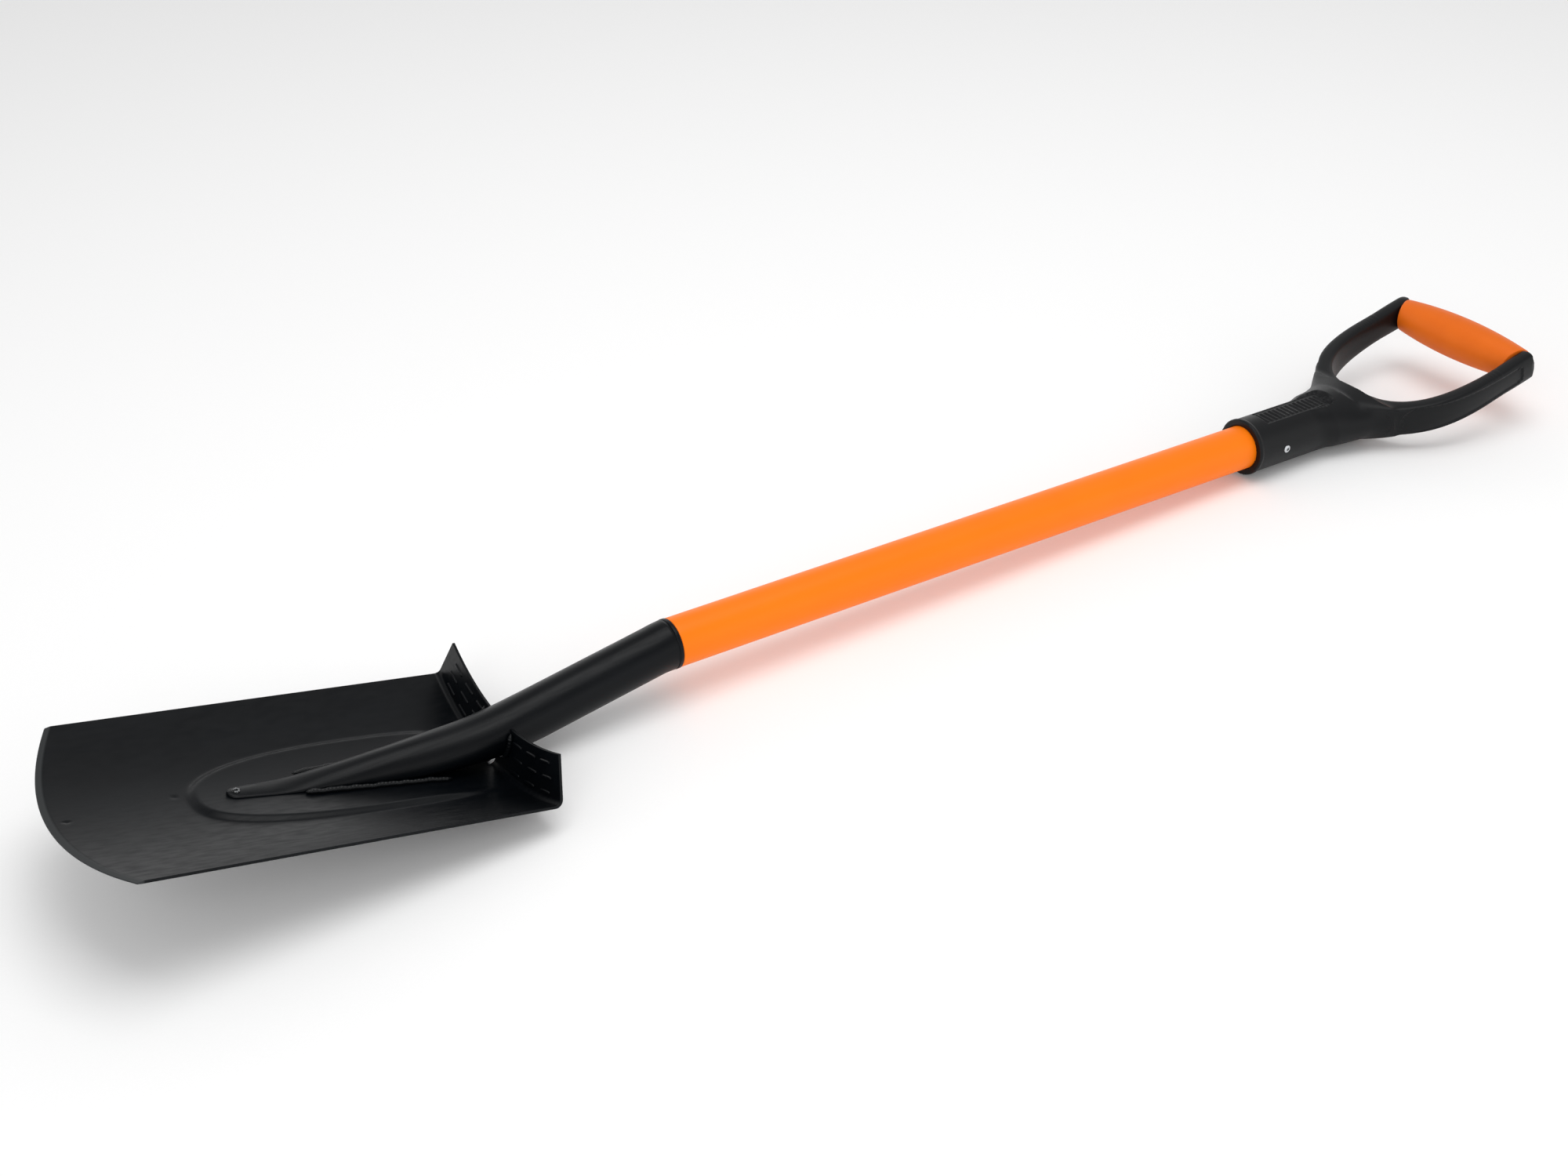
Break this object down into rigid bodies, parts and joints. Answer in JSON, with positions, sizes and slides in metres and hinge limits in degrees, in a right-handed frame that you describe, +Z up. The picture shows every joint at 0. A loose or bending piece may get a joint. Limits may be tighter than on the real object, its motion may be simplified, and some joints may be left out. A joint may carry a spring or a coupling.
{
  "type": "digging spade",
  "caption": "Long-handled digging spade with a dished steel blade, folded foot treads, cranked tubular neck, coated straight shaft and a tilted D-shaped hand grip.",
  "frame": {"origin": "middle of the bounding box's bottom, on the surface the spade lies on", "axes": "+X runs from the cutting edge to the grip, +Z is up with the hollow of the blade upwards, Y = 0 is the plane of symmetry"},
  "size_m": [1.3181, 0.1946, 0.0881],
  "materials": {
    "black_enamel": "black stove enamel on pressed steel, satin, with a faint orange peel",
    "orange_coat": "smooth satin orange plastic coating",
    "orange_grip": "softer, slightly darker orange moulded grip",
    "black_moulding": "black injection-moulded polypropylene, satin with a fine spark-eroded texture",
    "bare_rivet": "rubbed steel, partly painted over",
    "bright_rivet": "bright aluminium blind rivets",
    "tube_steel": "plain drawn steel, hidden inside the coating"
  },
  "bodies": {
    "root": {"blade": "black_enamel", "neck": "black_enamel", "tongue_rivet": "bare_rivet", "tongue_weld_left": "black_enamel", "tongue_weld_right": "black_enamel", "tread_weld_left": "black_enamel", "tread_weld_right": "black_enamel", "shaft_tube": "tube_steel", "shaft_coating": "orange_coat", "handle_frame": "black_moulding", "grip_cover": "orange_grip", "handle_rivets": "bright_rivet", "rivet_stems": "tube_steel"}
  },
  "joints": []
}
